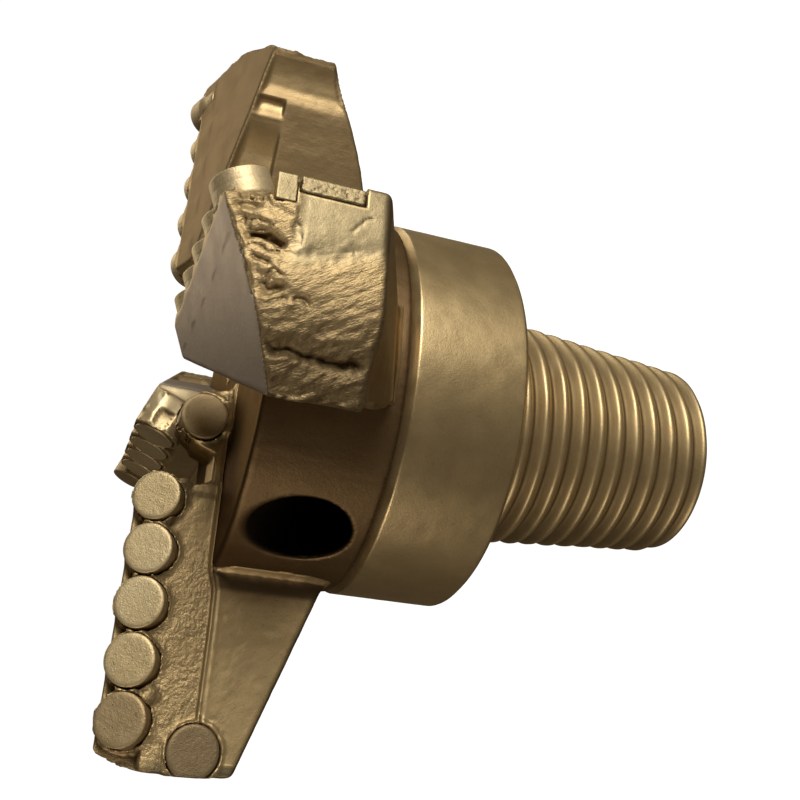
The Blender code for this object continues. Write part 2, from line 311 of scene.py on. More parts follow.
def seats(number):
    """Every cutter of a wing: name, u, z, back rake."""
    found = [(f"cutter_{i}", u, FACE_CUTTER_Z, BACK_RAKE) for i, u in enumerate(FACE_CUTTERS_U, 1)]
    found.append(("cutter_5", *OUTER_CUTTERS[number], BACK_RAKE))
    if number in (1, 3):
        found.append(("gauge_cutter", *GAUGE_CUTTER, 0.0))
        found.append(("centre_cutter", *CENTRE_CUTTER, 0.0))
    return found


def seat_frame(u, z, rake, pu, pt, pz):
    du, dt, dz = pu - u, pt - CUTTER_FACE_T, pz - z
    ahead = dt * math.cos(rake) + dz * math.sin(rake)
    across = dt * math.sin(rake) - dz * math.cos(rake)
    return du, across, ahead


def faces_of(number):
    """The flat sides of a wing as distances, by name."""
    lift = 0.27 if number in (2, 4) else 0.0

    def distances(u, t, z):
        r = np.hypot(u, t)
        lead = t - (7.0 - step(-0.5, 0.5, z - ledge_of(u)))
        trail = (-38.9 - 0.483 * (u - 96.0) - t) / TRAIL_N
        end = (u - END_A[0]) * END_NORMAL[0] + (t - END_A[1]) * END_NORMAL[1]
        return {
            "lead": lead,
            "trail": trail,
            "gauge": r - PAD_R - lift * step(153.7, 154.2, z) * step(166.0, 161.0, z) * step(-7.0, -3.0, t),
            "end": end,
            "crown": (z - 169.1 - 0.40 * (t - 0.5)) / RELIEF_N,
            # the pin side rises a little more towards its trailing corner
            "under": (114.3 + UNDER_S * (u - CORE_R) + 3.7 * step(-18.0, -37.0, t) * step(62.0, 95.0, u) - z) / UNDER_N,
            "cone": (r - 104.2 - CONE_S * (169.2 - z)) / CONE_N,
            "inner": 33.5 - u,
        }

    return distances


def wing_rough(number):
    flat = faces_of(number)
    places = seats(number)

    def field(u, t, z):
        s = flat(u, t, z)
        d = smax(s["lead"], s["trail"], 1.2)
        # the milled recess behind the cutters
        outer_u = OUTER_CUTTERS[number][0]
        shelf_z = 162.8 - 5.0 * step(-1.0, 1.0, u - outer_u)
        recess = smax(0.5 - t, shelf_z - z, 1.6)
        recess = np.maximum(recess, (FACE_CUTTERS_U[0] - 12.0) - u)
        d = smax(d, s["gauge"], 1.0)
        d = smax(d, s["end"], 1.6)
        d = smax(d, s["crown"], 0.9)
        d = smax(d, s["cone"], 1.0)
        d = smax(d, s["under"], 1.6)
        d = smax(d, s["inner"], 1.0)
        d = smax(d, -recess, 1.0)
        if number in (1, 3):
            arm = np.maximum(5.7 - u, u - 36.0)
            arm = smax(arm, t - 6.0, 1.2)
            arm = smax(arm, -8.6 - t, 1.2)
            arm = smax(arm, z - 155.6 + 6.0 * step(21.6, 24.4, u) * step(36.0, 31.5, u), 1.2)
            arm = smax(arm, CORE_TOP - 8.0 - z, 0.5)
            d = smin(d, arm, 1.6)
        # braze metal laid round every cutter
        for index, (name, cu, cz, rake) in enumerate(places):
            at = np.flatnonzero((np.abs(u - cu) < 11.5) & (np.abs(z - cz) < 15.0) & (t > -12.0))
            if not len(at):
                continue
            au, at_t, az = u[at], t[at], z[at]
            x, y, w = seat_frame(cu, cz, rake, au, at_t, az)
            away = np.hypot(x, y)
            wobble = 0.35 * noise(au / 2.3, at_t / 2.3, az / 2.3, 90 + index)
            wide, front = (1.7, 0.7) if number == 4 and index < 4 else (0.4, 1.15) if number in (1, 3) else (0.15, 1.9)
            collar = np.maximum(away - CUTTER_R - wide - wobble * 0.6, w + front + 0.45 * front * noise(au / 3.1, at_t / 3.1, az / 3.1, 60 + index))
            collar = np.maximum(collar, -w - CUTTER_LENGTH)
            d[at] = smin(d[at], collar, 1.9)
        # neither braze nor cutter seats stand above the ground crown
        d = smax(d, s["crown"], 0.5)
        d = smax(d, s["cone"], 0.6)
        # weld fillet onto the crown body
        core = core_solid(u, t, z)
        weld = smin(d, core, (1.8 + 4.0 * step(145.6, 140.0, z)) * (0.45 + 0.55 * step(111.5, 122.0, z)) * (1.0 - 0.5 * step(-9.0, -16.0, t)))
        lift = core - weld
        fillet = np.maximum(weld + np.clip(0.50 - 1.8 * lift, 0.0, 0.50), -core - 0.4)
        own = np.maximum(d, -core - 0.7)
        d = np.minimum(fillet, own)
        # the pockets themselves
        for index, (name, cu, cz, rake) in enumerate(places):
            at = np.flatnonzero((np.abs(u - cu) < 9.0) & (np.abs(z - cz) < 16.0) & (t > -12.0))
            if not len(at):
                continue
            x, y, w = seat_frame(cu, cz, rake, u[at], t[at], z[at])
            away = np.hypot(x, y)
            gap = 0.14 + 0.34 * step(-0.2, 0.8, y / (away + 0.01) * 0.6 + x / (away + 0.01) * 0.5)
            pocket = np.maximum(away - CUTTER_R - gap, np.maximum(-w - (6.6 if rake else 9.0), 0.3 - t[at]))
            d[at] = np.maximum(d[at], -pocket)
        if number in (2, 4):
            r = np.hypot(u, t)
            for low, high, deep, back in INSERTS.values():
                front = 6.0 - back
                gap = 0.20 if high < 154.0 else 0.04
                room = np.maximum.reduce([GAUGE_R - 3.0 - 0.15 - r, t - 9.0, front - deep - gap - t, low - 0.22 - z, z - high - gap])
                d = np.maximum(d, -room)
        return np.maximum(d, r_limit(u, t))

    return field


def r_limit(u, t):
    return np.hypot(u, t) - 107.85


# crack and crevice lines on the outer end, as (angle from the wing's middle in degrees, height)
CREVICES = [
    (1.9, 1.0, [(-2.8, 169.0), (-1.9, 167.3), (-1.1, 164.6), (-1.2, 162.2)]),
    (1.7, 0.8, [(-3.7, 168.2), (-3.8, 166.4), (-3.7, 164.2)]),
    (2.3, 0.8, [(-5.9, 166.4), (-5.1, 163.4), (-4.6, 160.5), (-4.9, 158.0), (-5.6, 155.5)]),
    (1.2, 0.6, [(-7.2, 165.0), (-7.3, 161.8), (-7.4, 159.8), (-8.0, 158.0)]),
    (1.6, 0.9, [(-10.4, 163.2), (-10.5, 160.5), (-10.6, 157.7), (-10.4, 154.9)]),
    (1.1, 0.7, [(-11.0, 152.0), (-11.3, 149.5)]),
    (0.9, 0.35, [(3.4, 160.4), (1.3, 159.3), (0.5, 157.6), (0.2, 155.3)]),
    (0.2, 0.26, [(3.2, 131.5), (2.4, 128.8), (0.9, 127.6)]),
    (0.25, 0.3, [(-2.4, 142.0), (-1.4, 140.5), (-0.2, 138.3)]),
]


def wing_fine(number):
    flat = faces_of(number)
    places = seats(number)
    seed = 100 * number

    def detail(u, t, z, d):
        s = flat(u, t, z)
        r = np.hypot(u, t)
        on = {k: step(-1.6, -0.3, v - d) for k, v in s.items()}
        phi = np.degrees(np.arctan2(t, u))
        arc = phi * 1.876
        end = np.maximum(np.maximum(on["gauge"], on["end"]), on["cone"]) * step(90.0, 98.0, u)
        bite = end * (1.0 - 0.3 * on["crown"]) * (1.0 - on["under"])
        end = end * (1.0 - on["crown"]) * (1.0 - on["under"])
        # cast and painted skin everywhere
        total = 0.05 * layers(u, t, z, 2.2, 2, seed + 1)
        ground = on["crown"]
        total = total * (1.0 - 0.8 * ground)
        # leathery cast recess above the ledge on the leading side
        above = on["lead"] * step(-0.6, 0.8, z - ledge_of(u))
        total = total + above * (0.075 * layers(u, t, z * 0.8, 2.6, 3, seed + 5) + 0.060 * (0.25 + 0.75 * step(48.0, 62.0, u)) * ridges(u, t, z * 0.8, 1.1, 2, seed + 9))
        # the ledge: a raised lip with a scribed line behind it
        off = z - ledge_of(u)
        lip = on["lead"] * step(-4.0, -1.5, t - 7.0)
        total = total - lip * 0.26 * bump(off + 0.30, 0.42) + lip * 0.22 * bump(off + 1.25, 0.30) - lip * 0.10 * bump(off + 1.9, 0.35)
        # below the ledge: nearly flat, a few scratched patches
        below = on["lead"] * step(-0.2, -1.6, off)
        scratch = np.maximum(noise(u / 1.1 + z / 0.9, t, z / 5.0 - u / 6.0, seed + 14), 0.0) * step(0.15, 0.5, noise(u / 7.0, t / 7.0, z / 7.0, seed + 15))
        total = total + below * 0.12 * scratch
        # trailing side: brushed along the axis
        brushed = noise(u / 1.1, t / 1.1, z / 14.0, seed + 20) * 0.012 + noise(u / 3.6, t / 3.6, z / 34.0, seed + 21) * 0.035
        total = total + on["trail"] * brushed
        # a hollow cut across the trailing side, and a shallow step on its crown side
        rear = on["trail"] * (1.0 - on["crown"]) * (1.0 - on["end"] * 0.7)
        wave = 0.5 * noise(z / 6.0, u / 9.0, z * 0.0, seed + 22)
        hollow = 1.15 * step(80.6, 86.4, u + 0.25 * wave) * step(97.0, 88.0, u) * step(124.0, 131.0, z) * (1.0 - 0.35 * step(155.0, 165.0, z))
        crown_side = step(146.3, 147.1, z + 0.25 * wave)
        shelf = crown_side * np.maximum(1.7 * step(75.9, 66.0, u + wave) * step(54.0, 60.0, u) + 0.15 * step(54.0, 58.0, u) * step(76.2, 75.6, u), 1.5 * step(75.8, 81.0, u + 0.2 * wave) * step(82.2, 81.2, u) * step(156.6, 154.0, z))
        total = total + rear * (hollow + shelf)
        # the flame cut at the back of the outer end
        edge = -6.2 - 0.30 * (z - 136.0) + 1.3 * noise(z / 3.1, arc * 0.0, z * 0.0, seed + 30) + 0.7 * noise(z / 1.2, arc / 3.0, z * 0.0, seed + 31)
        flame = end * step(2.4, -2.6, arc - edge)
        along = arc * 0.51 - (z - 145.0) * 0.86
        acrs = arc * 0.86 + (z - 145.0) * 0.51
        warp = 1.1 * noise(along / 8.0, acrs / 6.0, z * 0.0, seed + 33)
        stripe = 0.75 * layers((acrs + warp) * 1.0, along / 5.0, z * 0.0 + 3.0, 1.35, 2, seed + 34, 0.6)
        stripe = stripe + 0.45 * layers(u, t, z, 1.2, 2, seed + 38) + 0.5 * layers(acrs / 1.2, along / 3.0, z * 0.0, 3.4, 2, seed + 39)
        deep = 1.0 + 1.1 * step(-14.0, -28.0, arc)
        total = total + flame * (0.12 + 0.25 * stripe * deep)
        # coarse steps low on the flame cut
        coarse = np.abs(noise((arc + 0.18 * z) / 5.2, z / 26.0, z * 0.0, seed + 36))
        total = total + flame * step(-26.0, -33.0, arc) * (0.5 - 1.2 * coarse)
        sway = 0.9 * noise(z / 5.0, z * 0.0, z * 0.0, seed + 37)
        total = total + flame * (1.9 * bump(arc + 31.6 + sway + 0.4 * noise(z / 1.7, arc / 4.0, z * 0.0, seed + 44), 1.15) - 0.5 * bump(arc + 36.5 + sway, 2.0) - 0.3 * bump(arc + 27.6 + sway, 1.2))
        # torn metal towards the crown
        torn = bite * step(152.5, 156.5, z + 1.6 * noise(arc / 3.0, z / 3.0, z * 0.0, seed + 40))
        torn = torn * step(-1.2, -2.8, arc - 2.6 * step(158.8, 160.6, z)) * step(-27.0, -18.0, arc)
        down, over = arc * 0.95 - (z - 160.0) * 0.30, (arc * 0.30 + (z - 160.0) * 0.95) / 2.1
        lumps = layers(down, over, z * 0.0, 4.4, 4, seed + 41, 0.52)
        crack = bump(noise(u / 4.5, t / 3.4, z / 5.2, seed + 46) + 0.4 * noise(u / 1.6, t / 1.6, z / 1.6, seed + 47), 0.11)
        total = total + torn * (0.4 + 1.25 * lumps + 0.18 * ridges(down, over, z * 0.0, 1.3, 2, seed + 45) + 0.10 * layers(u, t, z, 0.9, 2, seed + 48) + 0.55 * crack)
        for depth, width, line in CREVICES:
            path = [(a * 1.876, b) for a, b in line]
            shift = 0.5 * noise(arc / 1.6, z / 1.6, z * 0.0, seed + 50)
            total = total + end * 0.8 * depth * bump(to_line(arc + shift, z + shift, path), width)
        # the smooth pad keeps a few shallow dents
        pad = end * (1.0 - flame) * (1.0 - torn)
        total = total + pad * 0.05 * np.maximum(layers(u, t, z, 5.0, 3, seed + 55), 0.0)
        # braze: soft and slumped, with a few blobs
        braze = 0.0
        for index, (name, cu, cz, rake) in enumerate(places):
            x, y, w = seat_frame(cu, cz, rake, u, t, z)
            away = np.hypot(x, y)
            braze = np.maximum(braze, step(CUTTER_R + 3.2, CUTTER_R + 0.8, away) * step(-14.0, -12.0, w))
        total = total - braze * 0.16 * layers(u, t, z, 1.8, 2, seed + 60) * (1.0 - end) * (1.0 - ground)
        if number in (1, 3):
            # braze heaped between the centre cutter and the body
            heap = step(9.5, 6.0, np.hypot(u - 10.5, (z - 146.0) * 1.1)) * step(2.5, 5.0, t)
            total = total - heap * (0.3 + 0.7 * ridges(u, t, z, 4.0, 2, seed + 70))
            total = total + heap * 1.6 * bump(to_line(u + 0.0 * z, z, [(5.5, 142.0), (12.0, 142.2), (18.5, 143.6)]), 0.7)
        for (bu, bz), size in (((44.8, 159.6), 1.7), ((89.6, 157.2), 2.5), ((33.8, 156.4), 2.0))[: 3 if number in (1, 3) else 2]:
            reach = np.sqrt((u - bu) ** 2 + (z - bz) ** 2 + (t - 6.2) ** 2)
            rough_ = 0.35 * noise(u / 0.9, t / 0.9, z / 0.9, seed + 65)
            total = total - 1.2 * step(size + 0.6, 0.4, reach + rough_) * (1.0 + 0.4 * rough_)
        return total

    return detail


def wing_marks(number, points, normal):
    flat = faces_of(number)
    u, t, z = (points[:, i].astype(F) for i in range(3))
    s = flat(u, t, z)
    up = normal[:, 2]
    crown = step(-1.2, -0.5, s["crown"]) * step(0.75, 0.88, up)
    trail = step(-1.6, -0.4, s["trail"])
    end = np.maximum(np.maximum(step(-3.4, -2.0, s["gauge"]), step(-2.4, -1.2, s["cone"])), step(-3.6, -1.0, s["end"])) * step(88.0, 97.0, u) * (1.0 - crown)
    arc = np.degrees(np.arctan2(t, u)) * 1.876
    along = arc * 0.51 - (z - 145.0) * 0.86
    acrs = arc * 0.86 + (z - 145.0) * 0.51
    brushed = trail * (1.0 - end) * (1.0 - crown)
    flow = np.stack([acrs * end + u * 1.2 * brushed, (along * 0.24 * end + z * 0.07 * brushed), 0.0 * u], 1)
    pad = end * step(-12.0, -7.0, arc + 0.30 * (z - 136.0)) * step(156.0, 152.0, z)
    ledge = step(-0.5, 0.8, z - ledge_of(u))
    lead = step(-1.0, -0.3, t - 6.0) * step(0.6, 0.85, normal[:, 1]) * ledge * step(161.5, 158.0, z)
    grain = np.maximum(lead * (0.25 + 0.75 * step(46.0, 60.0, u)), 0.55 * end * (1.0 - pad))
    core = core_solid(u, t, z)
    return {
        "soft": 0.5 * end * (1.0 - pad),
        # body: wing roots next to the crown body take its dark colour, a painted shade
        "body": np.maximum(step(5.5, 2.6, core), 0.55 * step(10.0, 5.0, core) * step(3.0, 5.0, t)) * step(147.0, 145.4, z),
        # painted shade on the weld fillet between wing and crown body
        "wing_root_shade": step(6.2, 4.4, core) * step(3.0, 5.0, t) * step(145.5, 143.0, z),
        # the back of the flame cut is darker; the groove near arc -31.6 and the downward-facing under side get painted
        # shade
        "dark_flame_and_shade": np.maximum(np.maximum(end * (1.0 - pad) * step(-13.0, -33.0, arc), 0.9 * end * bump(arc + 31.6, 2.4) * step(163.0, 158.0, z)), step(-2.6, -1.2, s["under"]) * step(58.0, 70.0, u) * step(-0.2, -0.6, up)),
        "ground": crown if number == 2 else 0.75 * trail * step(75.0, 50.0, u) * (1.0 - end) * (1.0 - crown) if number == 4 else 0.0 * crown,
        "cream": step(-2.2, -0.6, s["inner"]) * (1.0 - crown) * (1.0 - trail) if number in (2, 4) else 0.0 * crown,
        # crown facets of wings 1, 3 and 4 are a darker brown than wing 2's grey facet
        "brown_facet": 0.0 * crown if number == 2 else crown,
        "rear": brushed,
        "flame": end,
        "pad": pad,
        "streak": np.maximum(end * (1.0 - pad), 0.10 * brushed),
        "leather": grain,
        "flow": flow,
    }


# ---------------------------------------------------------------- shank
def crest_r(z):
    return PIN_BASE_R - (PIN_LENGTH - z) * PIN_TAPER


def soft_step(x, a, b):
    h = np.clip((x - a) / (b - a), 0.0, 1.0)
    return h * h * (3.0 - 2.0 * h)


def shank_piece():
    """Collar, pin and bore as one sheet of rings, with the helical thread drawn into the radius."""
    steps = 216
    theta = np.linspace(0.0, 2.0 * math.pi, steps, endpoint=False)
    rows = []
    # (radius, height) down the outside: 1 marks the threaded part
    def arc(cx, cz, radius, a0, a1, n):
        for i in range(n + 1):
            a = math.radians(a0 + (a1 - a0) * i / n)
            rows.append((cx + radius * math.cos(a), cz + radius * math.sin(a), 0))
    rows.append((BORE_R + 0.4, COLLAR_TOP, 0))
    rows.append((30.0, COLLAR_TOP, 0))
    rows.append((45.0, COLLAR_TOP, 0))
    rows.append((53.6, COLLAR_TOP, 0))
    arc(54.3, COLLAR_TOP - 0.5, 0.5, 90, 45, 4)
    arc(55.9, COLLAR_TOP - 2.4, 0.9, 45, 0, 5)
    for i in range(1, 46):
        rows.append((COLLAR_R, COLLAR_TOP - 2.6 - i * (COLLAR_TOP - 2.6 - PIN_LENGTH - 1.5) / 46.0, 0))
    arc(COLLAR_R - 0.5, PIN_LENGTH + 1.4, 0.5, 0, -40, 4)
    arc(COLLAR_R - 1.5, PIN_LENGTH + 0.5, 0.5, -50, -90, 4)
    for radius in (53.0, 49.0, 45.0, 41.5, 39.3):
        rows.append((radius, PIN_LENGTH, 0))
    arc(38.0, PIN_LENGTH - 1.0, 1.0, 90, 180, 5)
    z = PIN_LENGTH - 1.3
    while z > 3.2:
        rows.append((crest_r(z), z, 1))
        z -= 0.36
    for i in range(1, 9):
        a = i / 8.0
        rows.append((crest_r(3.2) - 1.2 * a - 4.6 * a * a, 3.2 - 3.2 * math.sin(a * math.pi / 2), 2))
    for radius in (26.0, 23.5, 21.5):
        rows.append((radius, 0.0, 0))
    rows += [(20.3, 0.25, 0), (19.5, 0.8, 0), (BORE_R, 1.7, 0), (BORE_R, 30.0, 0), (BORE_R, 60.0, 0), (BORE_R, 90.0, 0), (BORE_R, COLLAR_TOP - 0.4, 0)]
    radius = np.array([r for r, _, _ in rows])[:, None] * np.ones(steps)
    height = np.array([h for _, h, _ in rows])[:, None] * np.ones(steps)
    kind = np.array([k for _, _, k in rows])[:, None] * np.ones(steps)
    turn = np.degrees(theta)[None, :] * np.ones((len(rows), 1))
    # the crest passes 47.84 mm at -30.2 degrees, and climbs one pitch a turn
    phase = (height - 47.84) / PITCH - (turn + 30.2) / 360.0
    off = (phase - np.round(phase)) * PITCH
    x = np.clip((np.abs(off) - 0.45) / (PITCH / 2 - 0.60), 0.0, 1.0)
    depth = 2.35 * (0.25 * x + 0.75 * (x * x * (3.0 - 2.0 * x)))
    out = soft_step(height, PIN_LENGTH - 4.4, PIN_LENGTH - 1.2)
    nose = np.where(kind == 2, soft_step(height, 0.0, 1.6), 1.0)
    cut = np.where(kind > 0, depth * (1.0 - out) * nose, 0.0)
    wear = noise(turn / 14.0, height / 2.0, phase * 0.0, 301)
    cut = cut + np.where(kind == 1, 0.10 * wear, 0.0)
    radius = radius - cut
    # the collar is turned, then painted by spray
    side = (np.abs(radius - COLLAR_R) < 0.2) & (kind == 0)
    radius = radius - np.where(side, 0.03 + 0.03 * noise(turn / 3.0, height / 3.0, phase * 0.0, 305), 0.0)
    xyz = np.stack([radius * np.cos(theta), radius * np.sin(theta), height], -1).reshape(-1, 3)
    n, m = radius.shape
    i, j = np.meshgrid(np.arange(n), np.arange(m), indexing="ij")
    k, l = (i + 1) % n, (j + 1) % m
    quads = np.stack([i * m + j, k * m + j, k * m + l, i * m + l], -1).reshape(-1, 4)
    v = xyz[quads]
    volume = np.einsum("ij,ij->i", v[:, 0], np.cross(v[:, 1], v[:, 2])) + np.einsum("ij,ij->i", v[:, 0], np.cross(v[:, 2], v[:, 3]))
    if volume.sum() < 0:
        quads = quads[:, ::-1]
    obj = bpy.data.objects.new("shank_skin", to_mesh("shank_skin", xyz * MM, quads))
    bpy.context.scene.collection.objects.link(obj)
    # painted shade in the thread roots, and a painted highlight on the thread crests
    root = np.clip(cut / 2.35, 0.0, 1.0) * (kind > 0)
    mark(obj, "occlusion_shade", (root * 0.62).ravel())
    mark(obj, "soft", (0.55 * (kind > 0)).ravel())
    mark(obj, "sharp", ((kind > 0) * np.clip(1.0 - x * 3.0, 0.0, 1.0) * 0.4).ravel())
    return obj


# ---------------------------------------------------------------- cutters and inserts
def cutter_piece(name, number, u, z, rake, seed, clip_gauge=False):
    """A round cutter with a rolled rim, slightly uneven under its paint."""
    steps = 84
    theta = np.linspace(0.0, 2.0 * math.pi, steps, endpoint=False)
    R = CUTTER_R
    profile = [(0.25, 0.0), (1.2, 0.0), (2.2, 0.0), (3.2, 0.0), (4.2, 0.0), (5.1, 0.0), (5.7, -0.01), (6.05, -0.04), (6.28, -0.11)]
    profile += [(R - 0.42 + 0.42 * math.sin(a), -0.14 - 0.42 + 0.42 * math.cos(a)) for a in (0.5, 0.85, 1.2, 1.5)]
    profile += [(R, -0.9), (R, -1.5), (R, -2.3), (R, -2.95), (R - 0.02, -3.1), (R - 0.02, -3.2), (R, -3.35), (R, -4.4), (R, -5.8), (R, -6.4), (R - 0.7 * bool(rake), -7.4), (R - 0.8 * bool(rake), -9.0), (R - 0.8 * bool(rake), -10.6), (R - 0.8 * bool(rake), -12.2), (R - 0.9, -12.8), (R - 1.4, -13.2), (3.0, -13.2), (0.25, -13.2)]
    rad = np.array([p[0] for p in profile])[:, None] * np.ones(steps)
    hgt = np.array([p[1] for p in profile])[:, None] * np.ones(steps)
    cx, cy = rad * np.cos(theta), rad * np.sin(theta)
    face = (hgt > -0.3).astype(float)
    dent = 0.045 * layers(cx, cy, hgt, 2.4, 3, seed)
    hgt = hgt + dent * face - 0.02 * face
    rad = rad - (1.0 - face) * 0.03 * (1.0 + noise(cx / 2.0, cy / 2.0, hgt / 2.0, seed + 5))
    across, ahead = rad * np.sin(theta), hgt
    du = rad * np.cos(theta)
    # across = dt sin - dz cos, ahead = dt cos + dz sin
    dt = across * math.sin(rake) + ahead * math.cos(rake)
    dz = -across * math.cos(rake) + ahead * math.sin(rake)
    pu, pt, pz = u + du, CUTTER_FACE_T + dt, z + dz
    r = np.hypot(pu, pt)
    limit = GAUGE_R - 0.04 if clip_gauge else GAUGE_R + 5.0
    shrink = np.minimum(1.0, limit / r)
    pu, pt = pu * shrink, pt * shrink
    a = math.radians(WING_AZIMUTHS[number])
    xyz = np.stack([pu * math.cos(a) - pt * math.sin(a), pu * math.sin(a) + pt * math.cos(a), pz], -1).reshape(-1, 3)
    n, m = rad.shape
    i, j = np.meshgrid(np.arange(n - 1), np.arange(m), indexing="ij")
    l = (j + 1) % m
    quads = np.stack([i * m + j, (i + 1) * m + j, (i + 1) * m + l, i * m + l], -1).reshape(-1, 4)
    v = xyz[quads]
    volume = np.einsum("ij,ij->i", v[:, 0], np.cross(v[:, 1], v[:, 2])) + np.einsum("ij,ij->i", v[:, 0], np.cross(v[:, 2], v[:, 3]))
    flip = volume.sum() < 0
    if flip:
        quads = quads[:, ::-1]
    mesh = to_mesh(name, xyz * MM, quads)
    # the two small middles are closed as fans of the last ring
    import bmesh

    bm = bmesh.new()
    bm.from_mesh(mesh)
    bmesh.ops.holes_fill(bm, edges=[e for e in bm.edges if e.is_boundary], sides=0)
    for f in bm.faces:
        f.smooth = True
    bmesh.ops.recalc_face_normals(bm, faces=bm.faces)
    bm.to_mesh(mesh)
    bm.free()
    obj = bpy.data.objects.new(name, mesh)
    bpy.context.scene.collection.objects.link(obj)
    return obj


def insert_piece(name, number, label, seed):
    low, high, deep, back = INSERTS[label]
    front = 6.0 - back
    pitted = 1.0 if label == "long" else 0.25

    def rough(u, t, z):
        r = np.hypot(u, t)
        soft = 0.4 if label == "long" else 0.12
        d = smax(t - front, front - deep - t, soft)
        d = smax(d, smax(low - z, z - high, soft), soft)
        d = smax(d, r - (GAUGE_R - 0.10), soft)
        return np.maximum(d, GAUGE_R - 3.0 - r)

    def fine(u, t, z, d):
        r = np.hypot(u, t)
        outer = step(GAUGE_R - 1.2, GAUGE_R - 0.5, r)
        pits = np.maximum(layers(u, t, z, 0.62, 2, seed), 0.0) * 0.42 + 0.07 * (1.0 + layers(u, t, z, 2.0, 2, seed + 3))
        rim = step(front - 0.2, front - 1.0, t)
        return 0.7 * pits * outer * pitted * (0.12 + 0.88 * rim) + 0.03

    obj, points, normal = skin(
        name, rough, fine, (GAUGE_R - 4.6, front - deep - 1.0, low - 1.0), (GAUGE_R + 0.6, front + 1.0, high + 1.0), 0.22, WING_AZIMUTHS[number], 1.5
    )
    return obj


# ---------------------------------------------------------------- materials
def link(tree, a, b):
    tree.links.new(a, b)


def painted(name, light, dark, speck_and_shade, rough=0.42, metal=0.7, grain=1.0, peel=1.0, extras=(), streaks=False, edge=(0.9, 0.8, 0.65)):
    """Satin gold paint over metal: mottled, with painted shade where closed in, paler on sharp edges as wear and a
    painted highlight, with fine peel and grain.
    """
    material = bpy.data.materials.new(name)
    material.use_nodes = True
    tree = material.node_tree
    nodes = tree.nodes
    shader = nodes["Principled BSDF"]
    place = nodes.new("ShaderNodeNewGeometry")

    def scaled(scale):
        node = nodes.new("ShaderNodeVectorMath")
        node.operation = "MULTIPLY"
        node.inputs[1].default_value = scale
        link(tree, place.outputs["Position"], node.inputs[0])
        return node.outputs[0]

    def noisy(scale, detail=3.0, rough_=0.55, vector=None):
        node = nodes.new("ShaderNodeTexNoise")
        node.inputs["Scale"].default_value = scale
        node.inputs["Detail"].default_value = detail
        node.inputs["Roughness"].default_value = rough_
        link(tree, vector if vector is not None else place.outputs["Position"], node.inputs["Vector"])
        return node.outputs["Fac"]

    def ranged(value, a, b, c=0.0, d=1.0):
        node = nodes.new("ShaderNodeMapRange")
        node.interpolation_type = "SMOOTHSTEP"
        for index, number in ((1, a), (2, b), (3, c), (4, d)):
            node.inputs[index].default_value = number
        link(tree, value, node.inputs[0])
        return node.outputs[0]

    def math_(operation, a, b):
        node = nodes.new("ShaderNodeMath")
        node.operation = operation
        for index, value in enumerate((a, b)):
            if isinstance(value, (int, float)):
                node.inputs[index].default_value = value
            else:
                link(tree, value, node.inputs[index])
        return node.outputs[0]

    def mixed(factor, a, b):
        node = nodes.new("ShaderNodeMix")
        node.data_type = "RGBA"
        link(tree, factor, node.inputs[0])
        for index, value in ((6, a), (7, b)):
            if isinstance(value, tuple):
                node.inputs[index].default_value = (*value, 1.0)
            else:
                link(tree, value, node.inputs[index])
        return node.outputs[2]

    def read(attribute):
        node = nodes.new("ShaderNodeAttribute")
        node.attribute_type = "GEOMETRY"
        node.attribute_name = attribute
        return node.outputs["Fac"]

    cloud = ranged(noisy(38.0, 4.0), 0.30, 0.75)
    colour = mixed(cloud, light, dark)
    speck = ranged(noisy(1400.0, 2.0), 0.60, 0.74)
    colour = mixed(math_("MULTIPLY", speck, 0.35 * grain), colour, speck_and_shade)
    fleck = ranged(noisy(2300.0, 1.0), 0.64, 0.78)
    colour = mixed(math_("MULTIPLY", fleck, 0.30 * grain), colour, tuple(min(1.0, c * 1.35) for c in light))
    for attribute, other, amount in extras:
        colour = mixed(math_("MULTIPLY", read(attribute), amount), colour, other)
    # painted shade: closed-in places are mixed towards the dark speck colour
    occlusion_shade = ranged(read("occlusion_shade"), 0.10, 0.75)
    colour = mixed(math_("MULTIPLY", occlusion_shade, 0.78), colour, speck_and_shade)
    # sharp edges painted paler: partly paint wear, partly a painted highlight
    edge_wear_and_highlight = ranged(math_("SUBTRACT", read("sharp"), math_("MULTIPLY", noisy(420.0, 2.0), 0.35)), 0.20, 0.55)
    colour = mixed(math_("MULTIPLY", edge_wear_and_highlight, 0.45), colour, tuple(min(1.0, c * 1.3) for c in light))
    link(tree, colour, shader.inputs["Base Color"])
    shader.inputs["Metallic"].default_value = metal
    shader.inputs["Specular IOR Level"].default_value = 0.3
    shader.inputs["Specular Tint"].default_value = (*edge, 1.0)
    level = ranged(noisy(130.0, 3.0), 0.3, 0.7, rough - 0.02, rough + 0.04)
    level = math_("ADD", level, math_("MULTIPLY", occlusion_shade, 0.18))
    level = math_("ADD", level, math_("MULTIPLY", read("soft"), 0.16))
    link(tree, level, shader.inputs["Roughness"])
    # bump: orange peel, fine grain
    height = math_("MULTIPLY", noisy(1000.0, 2.0, 0.5), 0.75 * peel)
    height = math_("ADD", height, math_("MULTIPLY", noisy(2600.0, 2.0, 0.5), 0.45 * grain))
    height = math_("ADD", height, math_("MULTIPLY", noisy(260.0, 2.0, 0.5), 0.30 * peel))
    leather = math_("MULTIPLY", noisy(720.0, 4.0, 0.62), read("leather"))
    height = math_("ADD", height, math_("MULTIPLY", leather, 4.4))
    if streaks:
        flow = nodes.new("ShaderNodeAttribute")
        flow.attribute_type = "GEOMETRY"
        flow.attribute_name = "flow"
        lines = math_("ADD", noisy(1.1, 3.0, 0.65, flow.outputs["Vector"]), math_("MULTIPLY", noisy(3.1, 2.0, 0.6, flow.outputs["Vector"]), 0.6))
        height = math_("ADD", height, math_("MULTIPLY", math_("MULTIPLY", lines, read("streak")), 3.4))
    node = nodes.new("ShaderNodeBump")
    node.inputs["Strength"].default_value = 0.55
    node.inputs["Distance"].default_value = 0.00016
    link(tree, height, node.inputs["Height"])
    link(tree, node.outputs["Normal"], shader.inputs["Normal"])
    return material
